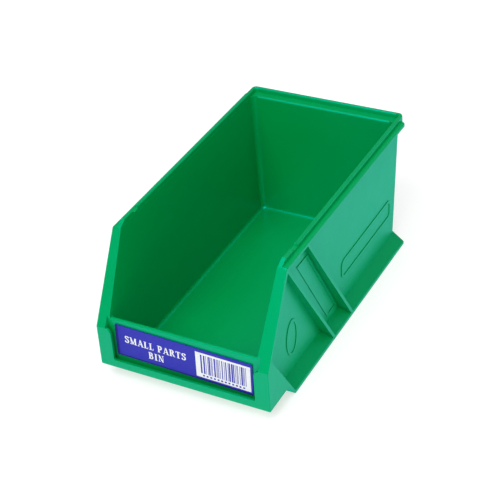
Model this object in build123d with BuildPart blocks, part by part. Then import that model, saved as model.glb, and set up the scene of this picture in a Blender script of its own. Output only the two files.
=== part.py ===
"""Stackable open-fronted storage bin with a label holder, and the printed card that slides into it.

Frame: X to the right, Y from the front to the back, Z up; the origin is the centre of the footprint
at the level that the bin stands on. All sizes are millimetres. The bin is mirrored about X = 0.
"""

import os
from math import atan, degrees

from build123d import *

# ---- overall size -------------------------------------------------------------------------------
half_width = 52.5  # frame, ledge and skirts all reach this far
half_length = 94.0
height = 85.0

# ---- tub: walls lean outward as they rise -------------------------------------------------------
wall = 2.2
floor_top = 4.4
floor_under = 2.2
side_lean = 0.045  # sideways per unit of height
back_lean = 0.070
front_lean = 0.040
side_outer_at_rim = 49.2
back_outer_at_rim = 88.6
front_wall_set_back = 3.6  # front wall's face behind the front frame's face
corner_radius = 2.6
inner_corner_radius = 3.0
front_corner_radius = 1.5
floor_fillet = 2.2

# ---- rim: a flat shelf, the ledge that the next bin's skirts sit on, and a lip inside it --------
rim_top = 82.2
rim_depth = 2.6
lip_outer = 49.6
lip_thickness = 2.4
ledge_back = 89.8
lip_corner_radius = 3.0
ledge_corner_radius = 2.4
notch_front = -50.0
notch_back = -45.6
notch_depth = 1.7
lip_front = -59.0

# ---- front: sloping flanges above, upright frame with the label window below --------------------
frame_bottom = 9.4
kink_height = 34.7
flange_top_y = -64.2
flange_thickness = 2.2
front_wall_top = 39.8
window_half_width = 43.6
window_bottom = 14.3
frame_thickness = 1.7
pillar_corner_radius = 4.1
sill_corner_radius = 0.8
slot_floor = 11.6
slot_half_width = 46.8
plate_half_width = 47.8

# ---- foot: the underside steps up behind the front frame ----------------------------------------
step_front = -73.3
step_back = -65.8
skirt_back = 82.6

# ---- skirts and diagonal ribs on each side ------------------------------------------------------
skirt_root_height = 7.2
skirt_edge_height = 1.8
skirt_edge = 1.9  # thickness of the upright edge
skirt_hollow_height = 0.9
rib_lean = 0.596  # backwards per unit of fall
rib_thickness = 1.9
rib_tops = (-38.4, -62.5)
gusset_overlap = 1.2  # the gusset's foot runs this far along the skirt
gusset_hollow_top = 30.0
gusset_front_wall = 4.7
gusset_back_wall = 0.8

# ---- raised outlines on the side walls: (along Y, up Z) -----------------------------------------
outline_height = 0.4
outline_width = 1.6
oblong_centre = (42.0, 29.5)
oblong_size = (69.0, 13.0)
oval_centre = (-55.0, 29.0)
oval_size = (13.0, 24.0)
panel_top = 70.5  # four-sided panel between the ribs
panel_bottom = 11.0
panel_width = 12.5
panel_start = -47.4  # its front edge at the top

# ---- rounding -----------------------------------------------------------------------------------
lip_rounding = 1.1
lip_end_rounding = 0.8
ledge_rounding = 1.0
ledge_under_rounding = 0.8
front_wall_rounding = 0.8
step_rounding = 1.2  # along the inner edge of the shelf at the back
step_half_width = 43.4
flange_rounding = 0.6
skirt_rounding = 0.5
frame_rounding = 0.5
window_rounding = 0.3

# ---- label card ---------------------------------------------------------------------------------
card_width = 84.0
card_height = 20.3
card_thickness = 0.5
card_corner_radius = 0.6
card_shift = -0.4  # the loose card sits a little to the left of the middle
card_bottom = 15.9
card_tilt = -1.25  # degrees, right end down
card_gap = 0.25  # air between card and front wall

os.makedirs("parts", exist_ok=True)

front_y = -half_length
kink_y = front_y + front_lean * (kink_height - frame_bottom)
slope = (flange_top_y - kink_y) / (rim_top - kink_height)


def side_x(z, inset=0.0):
    """Half width of the tub at height z."""
    return side_outer_at_rim - side_lean * (rim_top - z) - inset


def back_y(z, inset=0.0):
    """Back face of the tub at height z."""
    return back_outer_at_rim - back_lean * (rim_top - z) - inset


def front_wall_y(z, inset=0.0):
    """Outer face of the front wall at height z."""
    return front_y + front_wall_set_back + front_lean * (z - frame_bottom) + inset


def slope_y(z):
    """Front face of the sloping flange at height z."""
    return kink_y + slope * (z - kink_height)


def slab(points, x_from, x_to, mode=Mode.ADD):
    """Extrude an outline of (y, z) points along X from x_from to x_to."""
    with BuildSketch(Plane.YZ.offset(x_from)) as outline:
        with BuildLine():
            Polyline(*points, close=True)
        make_face()
    extrude(outline.sketch, amount=x_to - x_from, mode=mode)


def both_sides(points, x_inner, x_outer, mode=Mode.ADD):
    """The same outline extruded on the right and on the left of the bin."""
    slab(points, x_inner, x_outer, mode)
    slab(points, -x_inner, -x_outer, mode)


# ---- tub: outside and inside as two solids ------------------------------------------------------
below = -5.0
above = 110.0
in_front = front_y - 30


def keep_between_sides(inset):
    """Keep what lies between the tub's leaning sides, pulled in by inset."""
    with BuildSketch(Plane.XZ.offset(-above)) as outline:
        with BuildLine():
            Polyline(
                (-side_x(below, inset), below),
                (side_x(below, inset), below),
                (side_x(above, inset), above),
                (-side_x(above, inset), above),
                close=True,
            )
        make_face()
    extrude(outline.sketch, amount=above - in_front, mode=Mode.INTERSECT)


def level_edges(z):
    """Edges of the bin that lie level at height z."""
    return bin_body.edges().filter_by(
        lambda e: abs(e.bounding_box().min.Z - z) < 0.02 and abs(e.bounding_box().max.Z - z) < 0.02
    )


with BuildPart() as tub_outer:
    slab(
        [
            (front_wall_y(frame_bottom), frame_bottom),
            (step_front, frame_bottom),
            (step_back, floor_under),
            (back_y(floor_under), floor_under),
            (back_y(rim_top), rim_top),
            (flange_top_y, rim_top),
            (slope_y(front_wall_top), front_wall_top),
            (front_wall_y(front_wall_top), front_wall_top),
        ],
        -half_width,
        half_width,
    )
    keep_between_sides(0)
    back_corners = tub_outer.edges().filter_by(
        lambda e: e.center().Y > 0 and e.bounding_box().size.Z > rim_top / 2
    )
    fillet(back_corners, corner_radius)

with BuildPart() as cavity:
    slab(
        [
            (front_wall_y(slot_floor, wall), slot_floor),
            (step_front - 1.2, slot_floor),
            (step_back - 1.2, floor_top),
            (back_y(floor_top, wall), floor_top),
            (back_y(above, wall), above),
            (in_front, above),
            (in_front, front_wall_top),
            (front_wall_y(front_wall_top, wall), front_wall_top),
        ],
        -half_width,
        half_width,
    )
    keep_between_sides(wall)
    upright = cavity.edges().filter_by(
        lambda e: abs(e.center().X) > 40 and e.bounding_box().size.Z > e.length * 0.95
    )
    fillet(upright.filter_by(lambda e: e.center().Y > 0), inner_corner_radius)
    fillet(upright.filter_by(lambda e: in_front + 5 < e.center().Y < 0), front_corner_radius)
    fillet(cavity.faces().sort_by(Axis.Z)[0].edges(), floor_fillet)

# ---- raised outlines on the right side wall; the left wall gets their mirror image --------------
side_plane = Plane(
    origin=(side_x(0, outline_height), 0, 0), x_dir=(0, 1, 0), z_dir=(1, 0, -side_lean)
)
with BuildPart() as outlines:
    with BuildSketch(side_plane):
        with Locations(oblong_centre):
            RectangleRounded(*oblong_size, 4)
            RectangleRounded(
                oblong_size[0] - 2 * outline_width,
                oblong_size[1] - 2 * outline_width,
                4 - outline_width,
                mode=Mode.SUBTRACT,
            )
        with Locations(oval_centre):
            Ellipse(oval_size[0] / 2, oval_size[1] / 2)
            Ellipse(
                oval_size[0] / 2 - outline_width,
                oval_size[1] / 2 - outline_width,
                mode=Mode.SUBTRACT,
            )
        panel_run = rib_lean * (panel_top - panel_bottom)
        with BuildLine():
            Polyline(
                (panel_start, panel_top),
                (panel_start + panel_width, panel_top),
                (panel_start + panel_width + panel_run, panel_bottom),
                (panel_start + panel_run, panel_bottom),
                close=True,
            )
        panel = make_face()
        offset(panel, -outline_width, kind=Kind.INTERSECTION, mode=Mode.SUBTRACT)
    extrude(amount=2 * outline_height)

# ---- the moulded bin ----------------------------------------------------------------------------
with BuildPart() as bin_body:
    add(tub_outer.part)

    # rim shelf: reaches out to the ledge at the sides and to the lip at the back
    with BuildSketch(Plane.XY.offset(rim_top - rim_depth)) as shelf:
        with BuildLine():
            Polyline(
                (-half_width, in_front),
                (half_width, in_front),
                (half_width, ledge_back),
                (lip_outer, ledge_back),
                (lip_outer, half_length),
                (-lip_outer, half_length),
                (-lip_outer, ledge_back),
                (-half_width, ledge_back),
                close=True,
            )
        make_face()
        fillet(shelf.vertices().group_by(Axis.Y)[-1], lip_corner_radius)
        ledge_corners = shelf.vertices().filter_by(
            lambda v: abs(v.X) > half_width - 0.1 and v.Y > 0
        )
        fillet(ledge_corners, ledge_corner_radius)
    extrude(amount=rim_depth)

    # lip: a thin upstanding band; its front is cut away below
    with BuildSketch(Plane.XY.offset(rim_top)):
        with Locations((0, (half_length + in_front) / 2)):
            RectangleRounded(2 * lip_outer, half_length - in_front, lip_corner_radius)
    extrude(amount=height - rim_top)
    lip_inner_back = half_length - lip_thickness
    with BuildSketch(Plane.XY.offset(rim_top)):
        with Locations((0, (lip_inner_back + in_front) / 2 - 10)):
            RectangleRounded(
                2 * (lip_outer - lip_thickness),
                lip_inner_back - in_front + 20,
                lip_corner_radius - 1.2,
            )
    extrude(amount=height, mode=Mode.SUBTRACT)

    # the opening slopes back from the kink to the front end of the lip
    slab(
        [
            (in_front - 5, front_wall_top),
            (slope_y(front_wall_top), front_wall_top),
            (flange_top_y, rim_top),
            (lip_front, height),
            (lip_front, above),
            (in_front - 5, above),
        ],
        -half_width - 1,
        half_width + 1,
        mode=Mode.SUBTRACT,
    )
    slab(
        [
            (notch_front - notch_depth, height + 0.01),
            (notch_front, height - notch_depth),
            (notch_back, height - notch_depth),
            (notch_back + 0.2, height + 0.01),
        ],
        -half_width - 1,
        half_width + 1,
        mode=Mode.SUBTRACT,
    )

    # flanges: strips along the slope and down the front frame
    both_sides(
        [
            (front_y, frame_bottom),
            (kink_y, kink_height),
            (flange_top_y, rim_top),
            (flange_top_y + flange_thickness * 1.17, rim_top),
            (kink_y + flange_thickness * 1.05, kink_height),
            (front_y + flange_thickness, frame_bottom),
        ],
        side_x(frame_bottom, wall),
        half_width,
    )

    # gussets: flush side plates from the frame down to the skirts
    gusset_foot = step_back + gusset_overlap
    gusset_top = (gusset_foot - slope_y(0)) / (slope + rib_lean)
    both_sides(
        [
            (front_y, frame_bottom),
            (step_front, frame_bottom),
            (step_back, 0),
            (gusset_foot, 0),
            (slope_y(gusset_top), gusset_top),
            (kink_y, kink_height),
        ],
        side_x(frame_bottom, wall),
        half_width,
    )

    # skirts: sloping plates with an upright edge
    skirt_root_x = side_x(skirt_root_height)
    skirt_fall = (skirt_root_height - skirt_edge_height) / (half_width - skirt_root_x)
    skirt_inner_x = skirt_root_x - 4
    with BuildSketch(Plane.XZ.offset(-skirt_back)):
        with BuildLine():
            Polyline(
                (skirt_inner_x, skirt_edge_height + skirt_fall * (half_width - skirt_inner_x)),
                (half_width, skirt_edge_height),
                (half_width, 0),
                (skirt_inner_x, 0),
                close=True,
            )
        make_face()
        mirror(about=Plane.YZ)
    extrude(amount=skirt_back - step_back)

    # diagonal ribs from the ledge down to the skirt
    rib_run = rib_thickness * (1 + rib_lean**2) ** 0.5
    rib_head = rim_top - rim_depth / 2
    rib_foot = skirt_edge_height
    for rib_top in rib_tops:
        rib_bottom = rib_top + rib_lean * (rib_head - rib_foot)
        both_sides(
            [
                (rib_top, rib_head),
                (rib_bottom, rib_foot),
                (rib_bottom - rib_run, rib_foot),
                (rib_top - rib_run, rib_head),
            ],
            side_x(0) - 0.5,
            half_width,
        )

    add(outlines.part)
    add(mirror(outlines.part, about=Plane.YZ))

    # hollow the underside: between the skirts, inside the gussets, and under the front frame
    skirt_inner_edge = half_width - skirt_edge
    with BuildSketch(Plane.XZ.offset(-above)):
        with BuildLine():
            Polyline(
                (-skirt_inner_edge, below),
                (-skirt_inner_edge, skirt_hollow_height),
                (-side_x(0) + 2, floor_under),
                (side_x(0) - 2, floor_under),
                (skirt_inner_edge, skirt_hollow_height),
                (skirt_inner_edge, below),
                close=True,
            )
        make_face()
    extrude(amount=above - step_back, mode=Mode.SUBTRACT)
    slab(
        [
            (in_front, frame_bottom),
            (step_front, frame_bottom),
            (step_back, 0),
            (step_back, below),
            (in_front, below),
        ],
        -half_width - 1,
        half_width + 1,
        mode=Mode.SUBTRACT,
    )
    both_sides(
        [
            (front_y + gusset_front_wall, below),
            (step_front - gusset_back_wall, below),
            (step_front - gusset_back_wall, frame_bottom),
            (
                step_front - gusset_back_wall - rib_lean * (gusset_hollow_top - frame_bottom),
                gusset_hollow_top,
            ),
            (front_y + gusset_front_wall + 1, gusset_hollow_top),
        ],
        side_x(gusset_top) + 0.02,
        skirt_inner_edge,
        mode=Mode.SUBTRACT,
    )
    add(cavity.part, mode=Mode.SUBTRACT)

    # front frame: pillars and sill round the label window, standing clear of the front wall
    slab(
        [
            (front_y, frame_bottom),
            (front_wall_y(frame_bottom, wall / 2), frame_bottom),
            (front_wall_y(slot_floor, wall / 2), slot_floor + 1),
            (front_y + front_lean * (slot_floor + 1 - frame_bottom), slot_floor + 1),
        ],
        -plate_half_width,
        plate_half_width,
    )
    slot_top = front_wall_top + 8
    slab(
        [
            (in_front, slot_floor),
            (front_wall_y(slot_floor), slot_floor),
            (front_wall_y(slot_top), slot_top),
            (in_front, slot_top),
        ],
        -slot_half_width,
        slot_half_width,
        mode=Mode.SUBTRACT,
    )
    front_plane = Plane(
        origin=(0, front_y, frame_bottom), x_dir=(1, 0, 0), z_dir=(0, -1, front_lean)
    )
    frame_height = (kink_height - frame_bottom) * (1 + front_lean**2) ** 0.5
    sill_height = window_bottom - frame_bottom
    plate_foot = slot_floor - frame_bottom - 1
    with BuildSketch(front_plane) as frame_face:
        with BuildLine():
            Polyline(
                (-plate_half_width, plate_foot),
                (plate_half_width, plate_foot),
                (plate_half_width, frame_height),
                (window_half_width, frame_height),
                (window_half_width, sill_height),
                (-window_half_width, sill_height),
                (-window_half_width, frame_height),
                (-plate_half_width, frame_height),
                close=True,
            )
        make_face()
        pillar_corners = frame_face.vertices().filter_by(
            lambda v: abs(v.X) < window_half_width + 0.1 and v.Y > frame_height - 0.1
        )
        fillet(pillar_corners, pillar_corner_radius)
        sill_corners = frame_face.vertices().filter_by(
            lambda v: abs(v.X) < window_half_width + 0.1 and abs(v.Y - sill_height) < 0.1
        )
        fillet(sill_corners, sill_corner_radius)
    extrude(amount=-frame_thickness)

    # soften the edges that a hand meets
    step_y = back_y(rim_top - step_rounding, wall)
    with BuildSketch(Plane.YZ.offset(-step_half_width)):
        with Locations((step_y + step_rounding / 2 - 1, rim_top - step_rounding / 2 + 1)):
            Rectangle(step_rounding + 2, step_rounding + 2)
        with BuildLine():
            Polyline(
                (step_y + step_rounding, rim_top + 3),
                (step_y + step_rounding, rim_top - step_rounding - 3),
                (step_y + step_rounding + 9, rim_top - step_rounding - 3),
                (step_y + step_rounding + 9, rim_top + 3),
                close=True,
            )
        make_face(mode=Mode.SUBTRACT)
        with Locations((step_y + step_rounding, rim_top - step_rounding)):
            Circle(step_rounding, mode=Mode.SUBTRACT)
    extrude(amount=2 * step_half_width, mode=Mode.SUBTRACT)
    at_height = bin_body.edges().filter_by(
        lambda e: e.bounding_box().min.Z > height - 0.01 and e.length > lip_thickness + 0.1
    )
    fillet(at_height.filter_by(lambda e: e.bounding_box().max.Y > notch_back + 1), lip_rounding)
    lip_ends = bin_body.edges().filter_by(
        lambda e: e.bounding_box().min.Z > height - 0.01
        and e.bounding_box().max.Y < notch_front
        and e.length > lip_thickness + 0.1
    )
    fillet(lip_ends, lip_end_rounding)
    fillet(
        level_edges(rim_top).filter_by(
            lambda e: abs(e.center().X) > 50 and e.center().Y > flange_top_y + 1 and e.length > 1
        ),
        ledge_rounding,
    )
    fillet(
        level_edges(rim_top - rim_depth).filter_by(
            lambda e: e.bounding_box().size.X < ledge_corner_radius + 0.1
            and abs(e.center().X) > half_width - ledge_corner_radius
            and e.length > 1
            and e.center().Y > flange_top_y + 1
        ),
        ledge_under_rounding,
    )
    outer_front = bin_body.edges().filter_by(
        lambda e: abs(abs(e.center().X) - half_width) < 0.01
        and abs(e.center().Y - slope_y(max(e.center().Z, kink_height))) < 0.7
        and e.bounding_box().min.Z > frame_bottom - 0.1
        and e.bounding_box().size.Z > 20
    )
    fillet(outer_front, flange_rounding)
    fillet(
        level_edges(front_wall_top).filter_by(lambda e: e.length > window_half_width),
        front_wall_rounding,
    )
    fillet(
        level_edges(skirt_edge_height).filter_by(lambda e: abs(e.center().X) > half_width - 0.01),
        skirt_rounding,
    )
    fillet(
        level_edges(frame_bottom).filter_by(
            lambda e: e.center().Y < front_y + 0.1 and e.length > window_half_width
        ),
        frame_rounding,
    )
    window_edges = bin_body.edges().filter_by(
        lambda e: abs(e.center().X) < slot_half_width
        and e.bounding_box().max.Y < kink_y + 0.1
        and e.bounding_box().min.Z > frame_bottom + 1
    )
    fillet(window_edges, window_rounding)

# ---- label card: lies on the front wall between the pillars, a little out of square -------------
card_plane = Plane(
    origin=(card_shift, front_wall_y(card_bottom) - card_gap, card_bottom),
    x_dir=(1, 0, 0),
    z_dir=(0, -1, front_lean),
)
with BuildPart() as label_card:
    with BuildSketch(card_plane):
        with Locations(Location((0, card_height / 2, 0), (0, 0, card_tilt))):
            RectangleRounded(card_width, card_height, card_corner_radius)
    extrude(amount=card_thickness)

bin_body.part.label = "bin_body"
export_step(bin_body.part, "parts/bin_body.step")
label_card.part.label = "label_card"
export_step(label_card.part, "parts/label_card.step")
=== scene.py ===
"""Stackable storage bin: finishes, label print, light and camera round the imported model."""

import random
from math import cos, radians, sin

import bmesh
import bpy
from mathutils import Matrix, Vector
from mathutils.geometry import delaunay_2d_cdt


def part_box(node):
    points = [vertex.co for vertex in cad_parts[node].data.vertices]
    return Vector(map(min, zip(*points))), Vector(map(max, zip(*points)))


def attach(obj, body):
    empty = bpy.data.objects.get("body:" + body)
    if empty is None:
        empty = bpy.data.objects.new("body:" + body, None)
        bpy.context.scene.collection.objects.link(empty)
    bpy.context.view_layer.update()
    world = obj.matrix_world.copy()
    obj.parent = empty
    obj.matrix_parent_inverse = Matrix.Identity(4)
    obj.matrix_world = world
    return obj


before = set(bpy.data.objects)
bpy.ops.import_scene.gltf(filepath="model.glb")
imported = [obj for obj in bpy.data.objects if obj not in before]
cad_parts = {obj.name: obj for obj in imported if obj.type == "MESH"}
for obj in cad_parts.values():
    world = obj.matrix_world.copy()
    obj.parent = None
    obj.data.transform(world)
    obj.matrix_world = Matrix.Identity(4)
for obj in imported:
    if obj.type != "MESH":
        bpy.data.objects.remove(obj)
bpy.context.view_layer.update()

MM = 0.001
scene = bpy.context.scene


def link(obj):
    scene.collection.objects.link(obj)
    return obj


class NodeTree:
    """A node tree with short calls for adding and joining nodes. A value may be a number or a socket."""

    def __init__(self, tree):
        self.nodes = tree.nodes
        self.links = tree.links

    def join(self, value, socket):
        if isinstance(value, bpy.types.NodeSocket):
            self.links.new(value, socket)
        else:
            socket.default_value = value

    def math(self, operation, a, b):
        node = self.nodes.new("ShaderNodeMath")
        node.operation = operation
        self.join(a, node.inputs[0])
        self.join(b, node.inputs[1])
        return node.outputs[0]

    def ramp(self, value, low, high, to_low=0.0, to_high=1.0, kind="LINEAR"):
        node = self.nodes.new("ShaderNodeMapRange")
        node.interpolation_type = kind
        node.inputs["From Min"].default_value = low
        node.inputs["From Max"].default_value = high
        node.inputs["To Min"].default_value = to_low
        node.inputs["To Max"].default_value = to_high
        self.join(value, node.inputs["Value"])
        return node.outputs["Result"]


class Shader(NodeTree):
    """A material, with textures placed by the object's own coordinates."""

    def __init__(self, name):
        self.material = bpy.data.materials.new(name)
        self.material.use_nodes = True
        super().__init__(self.material.node_tree)
        self.bsdf = self.nodes["Principled BSDF"]
        self.place = self.nodes.new("ShaderNodeTexCoord").outputs["Object"]

    def set(self, name, value):
        self.join(value, self.bsdf.inputs[name])

    def noise(self, scale, detail, stretch=(1, 1, 1), distort=0.0):
        mapping = self.nodes.new("ShaderNodeMapping")
        mapping.inputs["Scale"].default_value = stretch
        self.join(self.place, mapping.inputs["Vector"])
        node = self.nodes.new("ShaderNodeTexNoise")
        node.inputs["Scale"].default_value = scale
        node.inputs["Detail"].default_value = detail
        node.inputs["Distortion"].default_value = distort
        self.join(mapping.outputs["Vector"], node.inputs["Vector"])
        return node.outputs["Fac"]

    def mix(self, factor, a, b):
        node = self.nodes.new("ShaderNodeMix")
        node.data_type = "RGBA"
        self.join(factor, node.inputs["Factor"])
        self.join(a, node.inputs["A"])
        self.join(b, node.inputs["B"])
        return node.outputs["Result"]

    def bump(self, height, depth, under=None):
        node = self.nodes.new("ShaderNodeBump")
        node.inputs["Distance"].default_value = depth
        self.join(height, node.inputs["Height"])
        if under is not None:
            self.join(under, node.inputs["Normal"])
        return node.outputs["Normal"]


# ---- camera -----------------------------------------------------------------------------------
AZIMUTH = radians(31.21)
ELEVATION = radians(35.52)
ROLL = radians(5.715)
AIM = Vector((-3.4, -6.0, 40.0)) * MM
DISTANCE = 809 * MM
LENS = 102.67

back = Vector((sin(AZIMUTH) * cos(ELEVATION), -cos(AZIMUTH) * cos(ELEVATION), sin(ELEVATION)))
level_right = Vector((cos(AZIMUTH), sin(AZIMUTH), 0))
level_up = back.cross(level_right)
right = level_right * cos(ROLL) - level_up * sin(ROLL)
up = back.cross(right)
camera_data = bpy.data.cameras.new("camera")
camera_data.lens = LENS
camera_data.sensor_width = 36
camera_data.clip_start = 0.01
camera = link(bpy.data.objects.new("camera", camera_data))
place = Matrix((right, up, back)).transposed().to_4x4()
place.translation = AIM + back * DISTANCE
camera.matrix_world = place
scene.camera = camera

# ---- light ------------------------------------------------------------------------------------
SKY_STRENGTH = 0.68
HORIZON_STRENGTH = 0.85
HORIZON_HEIGHT = 0.2
LAMP_DISTANCE = 1.4
LAMP_AIM = Vector((0, 0, 0.04))

scene.view_settings.view_transform = "Standard"
world = bpy.data.worlds.new("studio")
world.use_nodes = True
scene.world = world

# two bright walls, before and behind the bin, that fade towards the sides, and a pale low band
sky = NodeTree(world.node_tree)
sky_direction = sky.nodes.new("ShaderNodeSeparateXYZ")
sky.join(sky.nodes.new("ShaderNodeTexCoord").outputs["Generated"], sky_direction.inputs[0])
sky_walls = sky.math("MULTIPLY", sky_direction.outputs["Y"], sky_direction.outputs["Y"])
sky_band = sky.ramp(sky_direction.outputs["Z"], 0.0, HORIZON_HEIGHT, HORIZON_STRENGTH, 0.0, "SMOOTHSTEP")
sky_level = sky.math("MAXIMUM", sky.math("MULTIPLY", sky_walls, SKY_STRENGTH), sky_band)
sky.join(sky_level, sky.nodes["Background"].inputs["Strength"])
sky.nodes["Background"].inputs["Color"].default_value = (1, 1, 1, 1)


def softbox(name, turn, height, size, watts):
    """A square lamp that faces the bin, turned from the front to the right and raised, in degrees."""
    data = bpy.data.lights.new(name, "AREA")
    data.shape = "RECTANGLE"
    data.size = data.size_y = size
    data.energy = watts
    turn, height = radians(turn), radians(height)
    away = Vector((sin(turn) * cos(height), -cos(turn) * cos(height), sin(height)))
    light = link(bpy.data.objects.new(name, data))
    light.location = away * LAMP_DISTANCE
    light.rotation_euler = (LAMP_AIM - light.location).to_track_quat("-Z", "Y").to_euler()


softbox("key", turn=0, height=50, size=0.8, watts=12.2)
softbox("top", turn=0, height=90, size=1.6, watts=13.5)
softbox("side", turn=90, height=22, size=0.8, watts=4.4)
softbox("fill", turn=45, height=50, size=0.8, watts=2.0)

# ---- materials ----------------------------------------------------------------------------------
DEEP_GREEN = (0.0, 0.262, 0.044, 1)
LIGHT_GREEN = (0.0, 0.28, 0.049, 1)
PLASTIC_IOR = 2.05
REFLECTION_TINT = (0.0, 0.8, 0.95, 1)
SKIN_TINT = (0.67, 1.0, 1.0, 1)
PLASTIC_ROUGHNESS = (0.32, 0.37)
GRAIN_ROUGHNESS = 0.02
PEEL_DEPTH = 0.04 * MM
GRAIN_DEPTH = 0.006 * MM
INK_MOTTLING = 0.9
INK_ROUGHNESS = (0.45, 0.55)
INK_SPECULAR = 0.3
FIBRE_DEPTH = 0.008 * MM


def moulded_plastic():
    """Smooth green polypropylene: slight flow mottling, orange peel and fine handling marks."""
    s = Shader("green_polypropylene")
    flow = s.noise(scale=14, detail=3, stretch=(1, 0.35, 1), distort=1.2)
    peel = s.noise(scale=260, detail=2)
    marks = s.noise(scale=60, detail=4)
    grain = s.noise(scale=900, detail=3)
    s.set("Base Color", s.mix(s.ramp(flow, 0.3, 0.7), DEEP_GREEN, LIGHT_GREEN))
    s.set("IOR", PLASTIC_IOR)
    s.set("Specular Tint", REFLECTION_TINT)
    # a pigmented skin that reflects nothing itself and takes red out of what the surface reflects
    s.set("Coat Weight", 1.0)
    s.set("Coat IOR", 1.0)
    s.set("Coat Tint", SKIN_TINT)
    rough = s.ramp(marks, 0.3, 0.7, *PLASTIC_ROUGHNESS)
    s.set("Roughness", s.math("ADD", rough, s.ramp(grain, 0.3, 0.7, -GRAIN_ROUGHNESS, GRAIN_ROUGHNESS)))
    s.set("Normal", s.bump(grain, GRAIN_DEPTH, under=s.bump(peel, PEEL_DEPTH)))
    return s.material


def printed_card(name, colour):
    """Coated card: an even ink layer over faint fibres."""
    s = Shader(name)
    tone = s.ramp(s.noise(scale=500, detail=4), 0.25, 0.75)
    darker = tuple(c * INK_MOTTLING for c in colour)
    s.set("Base Color", s.mix(tone, (*darker, 1), (*colour, 1)))
    s.set("Roughness", s.ramp(s.noise(scale=900, detail=3), 0.3, 0.7, *INK_ROUGHNESS))
    s.set("Specular IOR Level", INK_SPECULAR)
    s.set("Normal", s.bump(s.noise(scale=1500, detail=3), FIBRE_DEPTH))
    return s.material


def finish_node(name, material):
    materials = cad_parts[name].data.materials
    materials.clear()
    materials.append(material)


plastic = moulded_plastic()
blue_ink = printed_card("blue_card", (0.012, 0.014, 0.36))
white_ink = printed_card("white_print", (0.72, 0.74, 0.76))
# painted shadow: dark navy ink for the shaded strips along the card's left end and foot
painted_shadow_ink = printed_card("painted_shadow_navy", (0.0, 0.0, 0.14))
finish_node("bin_body", plastic)
finish_node("label_card", blue_ink)

# ---- label print --------------------------------------------------------------------------------
# the lean of the front wall and the card's turn on it are those of the CAD model
WALL_LEAN = 0.04
CARD_TILT = radians(-1.25)
PRINT_THICKNESS = 0.05 * MM
PRINT_SINK = 0.02 * MM

card_low, card_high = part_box("label_card")
card_normal = Vector((0, -1, WALL_LEAN)).normalized()
card_level = Vector((1, 0, 0))
card_rise = card_normal.cross(card_level)
card_right = card_level * cos(CARD_TILT) + card_rise * sin(CARD_TILT)
card_up = card_normal.cross(card_right)
card_middle_z = (card_low[2] + card_high[2]) / 2
card_middle = Vector((
    (card_low[0] + card_high[0]) / 2,
    card_low[1] + WALL_LEAN * (card_middle_z - card_low[2]),
    card_middle_z,
))


def oblong(left, bottom, right_end, top):
    return [(left, bottom), (right_end, bottom), (right_end, top), (left, top)]


def covers(outline, point):
    """Whether a convex outline has the point inside."""
    turns = [
        (b[0] - a[0]) * (point.y - a[1]) - (b[1] - a[1]) * (point.x - a[0])
        for a, b in zip(outline, outline[1:] + outline[:1])
    ]
    return min(turns) > 0 or max(turns) < 0


def print_on_card(name, shapes, material, layer=0):
    """A thin closed solid on the card's face from overlapping outlines, in mm from its middle."""
    points, faces = [], []
    for outline in shapes:
        turning = sum(a[0] * b[1] - b[0] * a[1] for a, b in zip(outline, outline[1:] + outline[:1]))
        faces.append(list(range(len(points), len(points) + len(outline))))
        points += [Vector(point) for point in (outline if turning > 0 else outline[::-1])]
    spots, _, triangles, *_ = delaunay_2d_cdt(points, [], faces, 0, 1e-5)
    inked = []
    for triangle in triangles:
        middle = sum((spots[i] for i in triangle), Vector((0, 0))) / len(triangle)
        if any(covers(outline, middle) for outline in shapes):
            inked.append(triangle)
    # the underside, the face, and a wall on each edge that only one triangle has
    used = sorted({i for triangle in inked for i in triangle})
    number = {spot: n for n, spot in enumerate(used)}
    under = [[number[i] for i in triangle] for triangle in inked]
    edges = {(a, b): None for triangle in under for a, b in zip(triangle, triangle[1:] + triangle[:1])}
    rise = len(used)
    walls = [(b + rise, a + rise, a, b) for a, b in edges if (b, a) not in edges]
    face = [[i + rise for i in triangle] for triangle in under]
    foot = card_middle + card_normal * (layer * PRINT_THICKNESS - PRINT_SINK)
    corners = [foot + (card_right * spots[i].x + card_up * spots[i].y) * MM for i in used]
    corners += [corner + card_normal * (PRINT_THICKNESS + PRINT_SINK) for corner in corners]
    mesh = bpy.data.meshes.new(name)
    mesh.from_pydata(corners, [], [triangle[::-1] for triangle in under] + face + walls)
    mesh.materials.append(material)
    piece = link(bpy.data.objects.new(name, mesh))
    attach(piece, "card")


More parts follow.
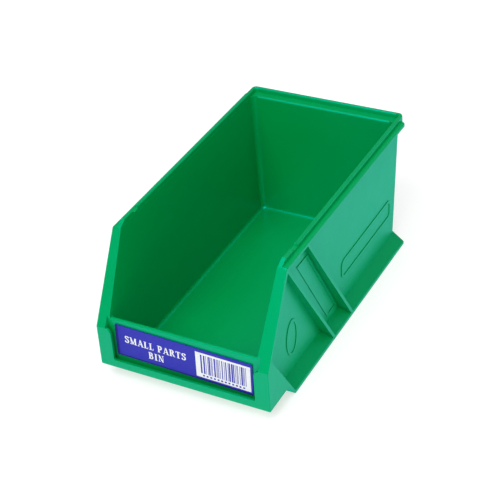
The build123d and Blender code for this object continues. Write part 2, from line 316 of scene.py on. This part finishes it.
# Serif capitals, drawn with a broad pen: upright strokes come out thick and level ones thin.
# Each letter, for a capital height of 1: its width, its strokes (the knots of a curve, or the two ends
# and the width of a line), and its serifs (middle, height, half width).
PEN_THICK = 0.2
PEN_THIN = 0.085
SERIF_HEIGHT = 0.07
CURVE_STEPS = 6
LETTERS = {
    "S": (0.62, [
        ["curve", (0.53, 0.79), (0.46, 0.93), (0.3, 0.965), (0.14, 0.89), (0.13, 0.7), (0.29, 0.56),
         (0.46, 0.43), (0.5, 0.22), (0.4, 0.07), (0.26, 0.035), (0.12, 0.1), (0.06, 0.24)],
        ["line", (0.545, 0.96), (0.545, 0.74), 0.05],
        ["line", (0.06, 0.04), (0.06, 0.28), 0.05],
    ], []),
    "T": (0.74, [
        ["line", (0.35, 0), (0.35, 0.96), PEN_THICK],
        ["line", (0.04, 0.96), (0.66, 0.96), PEN_THIN],
        ["line", (0.05, 0.98), (0.04, 0.74), 0.06],
        ["line", (0.65, 0.98), (0.66, 0.74), 0.06],
    ], [(0.35, 0, 0.2)]),
    "L": (0.68, [
        ["line", (0.2, 0), (0.2, 1), PEN_THICK],
        ["line", (0.08, 0.04), (0.58, 0.04), PEN_THIN],
        ["line", (0.56, 0.02), (0.6, 0.3), 0.06],
    ], [(0.15, 0, 0.14), (0.2, 1, 0.19)]),
    "M": (1.06, [
        ["line", (0.19, 0), (0.19, 1), PEN_THIN],
        ["line", (0.17, 1), (0.48, 0.04), 0.19],
        ["line", (0.48, 0.04), (0.79, 1), PEN_THIN],
        ["line", (0.81, 0), (0.81, 1), PEN_THICK],
    ], [(0.19, 0, 0.15), (0.13, 1, 0.13), (0.81, 0, 0.18), (0.85, 1, 0.13)]),
    "R": (0.82, [
        ["line", (0.2, 0), (0.2, 1), PEN_THICK],
        ["curve", (0.2, 0.96), (0.42, 0.95), (0.56, 0.75), (0.44, 0.54), (0.2, 0.5)],
        ["line", (0.4, 0.52), (0.68, 0.03), 0.19],
    ], [(0.2, 0, 0.19), (0.15, 1, 0.14), (0.72, 0, 0.1)]),
    "A": (0.8, [
        ["line", (0.11, 0.02), (0.38, 0.98), PEN_THIN],
        ["line", (0.39, 1), (0.65, 0.02), 0.19],
        ["line", (0.2, 0.32), (0.56, 0.32), PEN_THIN],
    ], [(0.1, 0, 0.13), (0.66, 0, 0.16)]),
    "B": (0.76, [
        ["line", (0.2, 0), (0.2, 1), PEN_THICK],
        ["curve", (0.2, 0.96), (0.41, 0.95), (0.53, 0.76), (0.42, 0.57), (0.2, 0.53)],
        ["curve", (0.2, 0.53), (0.44, 0.51), (0.59, 0.28), (0.44, 0.06), (0.2, 0.04)],
    ], [(0.15, 0, 0.14), (0.15, 1, 0.14)]),
    "I": (0.42, [
        ["line", (0.2, 0), (0.2, 1), PEN_THICK],
    ], [(0.2, 0, 0.19), (0.2, 1, 0.19)]),
    "N": (0.92, [
        ["line", (0.19, 0), (0.19, 1), PEN_THIN],
        ["line", (0.18, 1), (0.68, 0), 0.2],
        ["line", (0.7, 0), (0.7, 1), PEN_THIN],
    ], [(0.19, 0, 0.15), (0.13, 1, 0.13), (0.7, 1, 0.15)]),
    "P": (0.72, [
        ["line", (0.2, 0), (0.2, 1), PEN_THICK],
        ["curve", (0.2, 0.96), (0.43, 0.95), (0.57, 0.73), (0.44, 0.5), (0.2, 0.46)],
    ], [(0.2, 0, 0.19), (0.15, 1, 0.14)]),
    " ": (0.34, [], []),
}


def pen_curve(knots):
    """Quads of a broad-pen stroke along a Catmull-Rom curve through the knots."""
    knots = [Vector(k) for k in knots]
    line = []
    for i in range(len(knots) - 1):
        before = knots[i - 1] if i else knots[i] * 2 - knots[i + 1]
        after = knots[i + 2] if i + 2 < len(knots) else knots[i + 1] * 2 - knots[i]
        for step in range(CURVE_STEPS):
            t = step / CURVE_STEPS
            line.append(
                (knots[i] * 2 + (knots[i + 1] - before) * t
                 + (before * 2 - knots[i] * 5 + knots[i + 1] * 4 - after) * t * t
                 + (knots[i] * 3 - before - knots[i + 1] * 3 + after) * t * t * t) / 2
            )
    line.append(knots[-1])
    sides = []
    for i, point in enumerate(line):
        along = line[min(i + 1, len(line) - 1)] - line[max(i - 1, 0)]
        along.normalize()
        half = (PEN_THIN + (PEN_THICK - PEN_THIN) * abs(along.y)) / 2
        across = Vector((-along.y, along.x)) * half
        sides.append((point + across, point - across))
    return [[a[0], a[1], b[1], b[0]] for a, b in zip(sides, sides[1:])]


def pen_line(start, end, width):
    """A straight stroke cut off level where it is upright, and square where it is level."""
    along = Vector(end) - Vector(start)
    across = Vector((width / 2, 0)) if abs(along.y) > abs(along.x) else Vector((0, width / 2))
    start, end = Vector(start), Vector(end)
    return [start - across, start + across, end + across, end - across]


def lettering(words, left, base, height, track):
    """Outlines of a line of capitals, from its left end and base line, in mm."""
    quads, pen_x = [], 0.0
    for letter in words:
        width, strokes, serifs = LETTERS[letter]
        parts = []
        for kind, *rest in strokes:
            parts += pen_curve(rest) if kind == "curve" else [pen_line(*rest)]
        for middle, level, half in serifs:
            low = level if level < 0.5 else level - SERIF_HEIGHT
            parts.append(oblong(middle - half, low, middle + half, low + SERIF_HEIGHT))
        quads += [[(left + (pen_x + p[0]) * height, base + p[1] * height) for p in part] for part in parts]
        pen_x += width + track
    return quads


# white words and panel
PANEL_LEFT, PANEL_FOOT, PANEL_RIGHT, PANEL_TOP = 7.9, -8.2, 40.8, 8.2

white = lettering("SMALL PARTS", left=-36.2, base=-0.2, height=4.4, track=0.08)
white += lettering("BIN", left=-21.8, base=-6.5, height=4.4, track=0.09)
white.append(oblong(PANEL_LEFT, PANEL_FOOT, PANEL_RIGHT, PANEL_TOP))
print_on_card("label_print_white", white, white_ink)

# painted shadow: a dark navy strip along the card's left end and its foot, printed where the card's edges
# lie in shade; its outer corners are cut where the card's are round, from CUT_RISE above the corner, by
# way of CUT_BEND, to CUT_RUN beside it
EDGE_LEFT, EDGE_FOOT = -41.95, -10.1
END_SHADOW_WIDTH, FOOT_SHADOW_WIDTH = 1.6, 0.8
OVERLAP = 1.0
CUT_RISE, CUT_BEND, CUT_RUN = 0.6, (0.15, 0.2), 0.55

end_shadow_strip = [
    (EDGE_LEFT, EDGE_FOOT + CUT_RISE), (EDGE_LEFT + CUT_BEND[0], EDGE_FOOT + CUT_BEND[1]),
    (EDGE_LEFT + CUT_RUN, EDGE_FOOT), (EDGE_LEFT + END_SHADOW_WIDTH, EDGE_FOOT),
    (EDGE_LEFT + END_SHADOW_WIDTH, -EDGE_FOOT), (EDGE_LEFT + CUT_RUN, -EDGE_FOOT),
    (EDGE_LEFT + CUT_BEND[0], -EDGE_FOOT - CUT_BEND[1]), (EDGE_LEFT, -EDGE_FOOT - CUT_RISE),
]
foot_shadow_strip = [
    (EDGE_LEFT + CUT_RUN, EDGE_FOOT), (-EDGE_LEFT - CUT_RUN, EDGE_FOOT),
    (-EDGE_LEFT - CUT_BEND[0], EDGE_FOOT + CUT_BEND[1]), (-EDGE_LEFT, EDGE_FOOT + FOOT_SHADOW_WIDTH),
    (EDGE_LEFT + OVERLAP, EDGE_FOOT + FOOT_SHADOW_WIDTH),
]
print_on_card("label_painted_shadow_border", [end_shadow_strip, foot_shadow_strip], painted_shadow_ink)

# bars of random widths, which encode nothing, over a row of plain blocks
BAR_UNIT = 0.29
BAR_FOOT, BAR_TOP = -5.4, 6.9
BARS_LEFT, BARS_RIGHT = PANEL_LEFT + 3.0, PANEL_RIGHT - 2.6
BLOCKS, BLOCK_PITCH, BLOCK_WIDTH = 12, 2.2, 1.1
BLOCKS_LEFT, BLOCK_FOOT, BLOCK_TOP = PANEL_LEFT + 4.0, -7.3, -6.3

widths = random.Random(11)
bars, x = [], BARS_LEFT
while x < BARS_RIGHT:
    width = widths.choice((1, 1, 2, 3)) * BAR_UNIT
    bars.append(oblong(x, BAR_FOOT, x + width, BAR_TOP))
    x += width + widths.choice((1, 2, 2, 3)) * BAR_UNIT
for block in range(BLOCKS):
    x = BLOCKS_LEFT + block * BLOCK_PITCH
    bars.append(oblong(x, BLOCK_FOOT, x + BLOCK_WIDTH, BLOCK_TOP))
print_on_card("label_print_bars", bars, blue_ink, layer=1)

# ---- floor --------------------------------------------------------------------------------------
FLOOR_SIZE = 12.0
FLOOR_TONES = (0.45, 0.45, 0.45, 1), (0.47, 0.47, 0.47, 1)
FLOOR_GLOW = 0.6

floor_look = Shader("pale_floor")
floor_tone = floor_look.ramp(floor_look.noise(scale=3, detail=2), 0.3, 0.7)
floor_look.set("Base Color", floor_look.mix(floor_tone, *FLOOR_TONES))
floor_look.set("Roughness", 0.8)
floor_look.set("Emission Color", (1, 1, 1, 1))
floor_look.set("Emission Strength", FLOOR_GLOW)

floor_shape = bmesh.new()
bmesh.ops.create_grid(floor_shape, x_segments=1, y_segments=1, size=FLOOR_SIZE)
floor_mesh = bpy.data.meshes.new("floor")
floor_shape.to_mesh(floor_mesh)
floor_shape.free()
floor_mesh.materials.append(floor_look.material)
link(bpy.data.objects.new("floor", floor_mesh))
